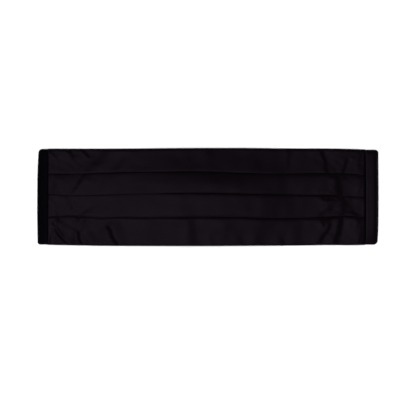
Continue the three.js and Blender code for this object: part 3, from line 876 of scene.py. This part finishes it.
# %% The thread group
GROUP_INPUTS = {"Thread width": 0.0004, "Variation": 0.15, "Roughness": 0.4, "Bump depth": 0.00002}
WEFT_WIDTH = 2.5
SLUB_ALONG, SLUB_ACROSS = 60.0, 900.0
SLUB_DETAIL = 3.0
SLUB_PART = 1.2
CLOUD_SCALE = 18.0
CLOUD_DETAIL = 2.0
ROUGHNESS_SWAY = 0.12
WARP_RELIEF, WEFT_RELIEF, SLUB_RELIEF = 0.5, 0.25, 1.5


def math_node(tree, operation, a, b=None):
    """A Math node on a and b, each a socket or a plain number. Returns its result."""
    node = tree.nodes.new("ShaderNodeMath")
    node.operation = operation
    for socket, value in zip(node.inputs, (a, b)):
        if isinstance(value, (int, float)):
            socket.default_value = value
        elif value is not None:
            tree.links.new(value, socket)
    return node.outputs[0]


def noise_of(tree, place, scale, detail):
    """A noise between -0.5 and 0.5 over the socket place."""
    noise = tree.nodes.new("ShaderNodeTexNoise")
    noise.inputs["Scale"].default_value = scale
    noise.inputs["Detail"].default_value = detail
    tree.links.new(place, noise.inputs["Vector"])
    return math_node(tree, "SUBTRACT", noise.outputs["Fac"], 0.5)


def thread_group():
    """Fine threads along U and V of the cloth. Warp and weft are sines, slub is a noise stretched along the
    warp and cloud a soft one. With mixed = SLUB_PART * slub + cloud, Shade is 1 + Variation * mixed,
    Roughness is the given one + ROUGHNESS_SWAY * mixed, and Height is Bump depth times the sum of warp,
    weft and slub, each times its relief."""
    group = bpy.data.node_groups.new("Satin threads", "ShaderNodeTree")
    for name, value in GROUP_INPUTS.items():
        socket = group.interface.new_socket(name=name, in_out="INPUT", socket_type="NodeSocketFloat")
        socket.default_value = value
    for name in ("Shade", "Roughness", "Height"):
        group.interface.new_socket(name=name, in_out="OUTPUT", socket_type="NodeSocketFloat")
    nodes, links = group.nodes, group.links
    given = nodes.new("NodeGroupInput").outputs
    result = nodes.new("NodeGroupOutput").inputs
    place = nodes.new("ShaderNodeUVMap")
    place.uv_map = "UVMap"
    split = nodes.new("ShaderNodeSeparateXYZ")
    links.new(place.outputs["UV"], split.inputs[0])

    def threads(coordinate, widths):
        width = math_node(group, "MULTIPLY", given["Thread width"], widths)
        turns = math_node(group, "DIVIDE", coordinate, width)
        return math_node(group, "SINE", math_node(group, "MULTIPLY", turns, 2 * math.pi))

    def weighted(a, share, b):
        return math_node(group, "ADD", math_node(group, "MULTIPLY", a, share), b)

    warp = threads(split.outputs["Y"], 1.0)
    weft = threads(split.outputs["X"], WEFT_WIDTH)
    stretch = nodes.new("ShaderNodeCombineXYZ")
    links.new(math_node(group, "MULTIPLY", split.outputs["X"], SLUB_ALONG), stretch.inputs[0])
    links.new(math_node(group, "MULTIPLY", split.outputs["Y"], SLUB_ACROSS), stretch.inputs[1])
    slub = noise_of(group, stretch.outputs[0], 1.0, SLUB_DETAIL)
    cloud = noise_of(group, place.outputs["UV"], CLOUD_SCALE, CLOUD_DETAIL)

    mixed = weighted(slub, SLUB_PART, cloud)
    relief = weighted(warp, WARP_RELIEF, math_node(group, "MULTIPLY", weft, WEFT_RELIEF))
    relief = weighted(slub, SLUB_RELIEF, relief)
    links.new(weighted(mixed, given["Variation"], 1.0), result["Shade"])
    links.new(weighted(mixed, ROUGHNESS_SWAY, given["Roughness"]), result["Roughness"])
    links.new(math_node(group, "MULTIPLY", relief, given["Bump depth"]), result["Height"])
    print(group.name, "with", len(nodes), "nodes")
    return group


THREADS = thread_group()


# %% A cloth's material
def new_material(name):
    """A material with its nodes, its links and its Principled shader."""
    material = bpy.data.materials.new(name)
    material.use_nodes = True
    tree = material.node_tree
    print("material", name)
    return material, tree.nodes, tree.links, tree.nodes["Principled BSDF"]


def cloth_material(name, colour, tint, roughness, thread_width, variation, depth, anisotropy, level):
    """A dark cloth: the thread group shades the base colour and roughness and feeds a Bump node."""
    material, nodes, links, shader = new_material(name)
    threads = nodes.new("ShaderNodeGroup")
    threads.node_tree = THREADS
    threads.inputs["Thread width"].default_value = thread_width
    threads.inputs["Variation"].default_value = variation
    threads.inputs["Roughness"].default_value = roughness
    threads.inputs["Bump depth"].default_value = depth
    shade = nodes.new("ShaderNodeMix")
    shade.data_type = "RGBA"
    shade.blend_type = "MULTIPLY"
    shade.inputs["Factor"].default_value = 1.0
    shade.inputs["A"].default_value = (*colour, 1)
    links.new(threads.outputs["Shade"], shade.inputs["B"])
    links.new(shade.outputs["Result"], shader.inputs["Base Color"])
    links.new(threads.outputs["Roughness"], shader.inputs["Roughness"])
    bump = nodes.new("ShaderNodeBump")
    bump.inputs["Strength"].default_value = 1.0
    bump.inputs["Distance"].default_value = 1.0
    links.new(threads.outputs["Height"], bump.inputs["Height"])
    links.new(bump.outputs["Normal"], shader.inputs["Normal"])
    shader.inputs["Specular IOR Level"].default_value = level
    shader.inputs["Specular Tint"].default_value = (*tint, 1)
    if anisotropy:
        tangent = nodes.new("ShaderNodeTangent")
        tangent.direction_type = "UV_MAP"
        tangent.uv_map = "UVMap"
        links.new(tangent.outputs["Tangent"], shader.inputs["Tangent"])
        shader.inputs["Anisotropic"].default_value = anisotropy
    return material


# %% Finishes of the cloth pieces
PLUM = (0.93, 0.65, 1.0)
# The next tint darkens the left band's gloss: painted shade for the light that falls off its sloping face.
PAINTED_SHADE_TINT = (0.60, 0.48, 0.90)
WHITE = (1.0, 1.0, 1.0)
BLACK = (0.0008, 0.0005, 0.0008)
# The next black is painted shade: the left band is the same satin, given a darker base colour.
PAINTED_SHADE_BLACK = (0.0004, 0.0004, 0.0005)
WEBBING_BLACK = (0.006, 0.0055, 0.0065)
SATIN = dict(roughness=0.36, thread_width=0.00045, variation=0.22, depth=0.00001, anisotropy=0.35)
WEBBING = dict(roughness=0.8, thread_width=0.0012, variation=0.3, depth=0.00008, anisotropy=0)
panel_satin = cloth_material("panel satin", BLACK, PLUM, level=0.5, **SATIN)
# The left band's satin is a shaded copy of the panel satin: its darker black, darker tint and lower
# specular level are painted shade.
left_satin_painted_shade = cloth_material("left band satin", PAINTED_SHADE_BLACK, PAINTED_SHADE_TINT, level=0.24, **SATIN)
right_satin = cloth_material("right band satin", BLACK, PLUM, level=0.5, **SATIN)
webbing = cloth_material("black webbing", WEBBING_BLACK, WHITE, level=0.3, **WEBBING)


# %% Finishes of the thread and the clasp
def two_toned(name, texture, scale, dark, light):
    """A material whose base colour runs from dark to light over a pattern that is fixed to the piece."""
    material, nodes, links, shader = new_material(name)
    place = nodes.new("ShaderNodeTexCoord")
    pattern = nodes.new(texture)
    pattern.inputs["Scale"].default_value = scale
    tones = nodes.new("ShaderNodeValToRGB")
    tones.color_ramp.elements[0].color = (*dark, 1)
    tones.color_ramp.elements[1].color = (*light, 1)
    links.new(place.outputs["Object"], pattern.inputs["Vector"])
    links.new(pattern.outputs["Fac"], tones.inputs["Fac"])
    links.new(tones.outputs["Color"], shader.inputs["Base Color"])
    return material, shader, pattern


TWIST_SCALE = 900.0
GRAIN_SCALE = 400.0
LEAST_ROUGH, MOST_ROUGH = 0.3, 0.5
THREAD_TONES = (0.003, 0.0025, 0.0032), (0.008, 0.007, 0.0085)
METAL_TONES = (0.010, 0.010, 0.010), (0.022, 0.022, 0.022)
thread, thread_shader, _ = two_toned("black thread", "ShaderNodeTexWave", TWIST_SCALE, *THREAD_TONES)
thread_shader.inputs["Roughness"].default_value = 0.5
metal, metal_shader, grain = two_toned("black clasp metal", "ShaderNodeTexNoise", GRAIN_SCALE, *METAL_TONES)
metal_shader.inputs["Metallic"].default_value = 0.7
metal_range = metal.node_tree.nodes.new("ShaderNodeMapRange")
metal_range.inputs["To Min"].default_value = LEAST_ROUGH
metal_range.inputs["To Max"].default_value = MOST_ROUGH
metal.node_tree.links.new(grain.outputs["Fac"], metal_range.inputs["Value"])
metal.node_tree.links.new(metal_range.outputs["Result"], metal_shader.inputs["Roughness"])

# %% Materials and bodies, and the solids that the pieces replace are hidden
for piece, material, node, slot_name in (
    (panel, panel_satin, "pleated_panel", "panel_satin"),
    (band_left, left_satin_painted_shade, "end_band_left", "left_band_satin"),
    (band_right, right_satin, "end_band_right", "right_band_satin"),
    (strap_left, webbing, "strap_left", "left_webbing"),
    (strap_right, webbing, "strap_right", "right_webbing"),
):
    piece.data.materials.append(material)
    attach(piece, "root")
    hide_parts(node)
for piece in stitches:
    piece.data.materials.append(thread)
    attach(piece, "root")
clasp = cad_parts["clasp"]
clasp.data.materials.clear()
clasp.data.materials.append(metal)

# %% [markdown]
# ## The surface, the light and the camera
# The cummerbund lies on white paper that the light almost burns out. Black satin shows only what it
# mirrors, so the sky of the studio is of two kinds. The paper and the camera see a plain white dome.
# Mirrored rays see a dim sky with three soft glows: one overhead, which plies that lie flat mirror to
# the camera, one towards the front, and one round the horizon, which steep faces catch. Faces that lean
# in between mirror the dim sky alone, which draws the dark lines of the creases. The camera looks
# straight down.

# %% Floor
FLOOR_HALF = 6.0
PAPER_SHADE = 0.86
floor_mesh = bpy.data.meshes.new("floor")
floor_corners = [(x * FLOOR_HALF, y * FLOOR_HALF, 0) for x, y in ((-1, -1), (1, -1), (1, 1), (-1, 1))]
floor_mesh.from_pydata(floor_corners, [], [(0, 1, 2, 3)])
floor = place_object("floor", floor_mesh)
paper, _, _, paper_shader = new_material("white paper")
paper_shader.inputs["Base Color"].default_value = (PAPER_SHADE, PAPER_SHADE, PAPER_SHADE, 1)
paper_shader.inputs["Roughness"].default_value = 0.9
paper_shader.inputs["Specular IOR Level"].default_value = 0.1
floor.data.materials.append(paper)
print("floor", 2 * FLOOR_HALF, "m wide")

# %% The sky of the studio
WHITE_DOME = 1.85
DIM_SKY = 0.035
# inner and outer are angles in degrees, from the direction of place or from straight up
OVERHEAD = dict(place=(-0.13, -0.07, 1.0), inner=0.0, outer=17.0, strength=0.53)
FRONT = dict(place=(-0.1, -0.70, 1.0), inner=5.0, outer=24.0, strength=0.17)
HORIZON = dict(inner=82.0, outer=54.0, strength=0.24)

world = bpy.data.worlds.new("studio")
bpy.context.scene.world = world
world.use_nodes = True
world.cycles.sampling_method = "NONE"
world_nodes, world_links = world.node_tree.nodes, world.node_tree.links
direction = world_nodes.new("ShaderNodeTexCoord").outputs["Generated"]


def ramp_of(cosine, inner, outer, strength):
    """0 where the cosine is that of outer and strength where it is that of inner, smoothly between."""
    ramp = world_nodes.new("ShaderNodeMapRange")
    ramp.interpolation_type = "SMOOTHSTEP"
    ramp.inputs["From Min"].default_value = math.cos(math.radians(outer))
    ramp.inputs["From Max"].default_value = math.cos(math.radians(inner))
    ramp.inputs["To Max"].default_value = strength
    world_links.new(cosine, ramp.inputs["Value"])
    return ramp.outputs["Result"]


def glow(place, **ramp):
    """A round glow in the direction of place: the cosine is the dot product of the two directions."""
    facing = world_nodes.new("ShaderNodeVectorMath")
    facing.operation = "DOT_PRODUCT"
    facing.inputs[1].default_value = np.array(place) / np.linalg.norm(place)
    world_links.new(direction, facing.inputs[0])
    return ramp_of(facing.outputs["Value"], **ramp)


# %% The three glows and the two skies
parts = world_nodes.new("ShaderNodeSeparateXYZ")
world_links.new(direction, parts.inputs[0])
sky = DIM_SKY
for more in (glow(**OVERHEAD), glow(**FRONT), ramp_of(parts.outputs["Z"], **HORIZON)):
    sky = math_node(world.node_tree, "ADD", more, sky)

mirrored = world_nodes["Background"]
world_links.new(sky, mirrored.inputs["Strength"])
mirrored.inputs["Color"].default_value = (1, 1, 1, 1)
dome = world_nodes.new("ShaderNodeBackground")
dome.inputs["Strength"].default_value = WHITE_DOME
ray = world_nodes.new("ShaderNodeLightPath")
choose = world_nodes.new("ShaderNodeMixShader")
world_links.new(ray.outputs["Is Glossy Ray"], choose.inputs["Fac"])
world_links.new(dome.outputs["Background"], choose.inputs[1])
world_links.new(mirrored.outputs["Background"], choose.inputs[2])
world_links.new(choose.outputs["Shader"], world_nodes["World Output"].inputs["Surface"])
print("sky of", len(world_nodes), "nodes")

# %% Camera
LENS = 85.0
SENSOR = 36.0
MM_PER_PIXEL = 1.3
PICTURE_PIXELS = 416
PICTURE_CENTRE_Y = -14.3
PANEL_LEVEL = 2.0
camera_data = bpy.data.cameras.new("camera")
camera_data.lens = LENS
camera_data.sensor_width = SENSOR
camera = place_object("camera", camera_data)
distance = MM_PER_PIXEL * PICTURE_PIXELS * LENS / SENSOR
camera.location = (0, PICTURE_CENTRE_Y * MM, (distance + PANEL_LEVEL) * MM)
camera.rotation_euler = (0, 0, 0)
bpy.context.scene.camera = camera
bpy.context.scene.view_settings.view_transform = "Standard"
print("camera", round(distance), "mm above the satin")
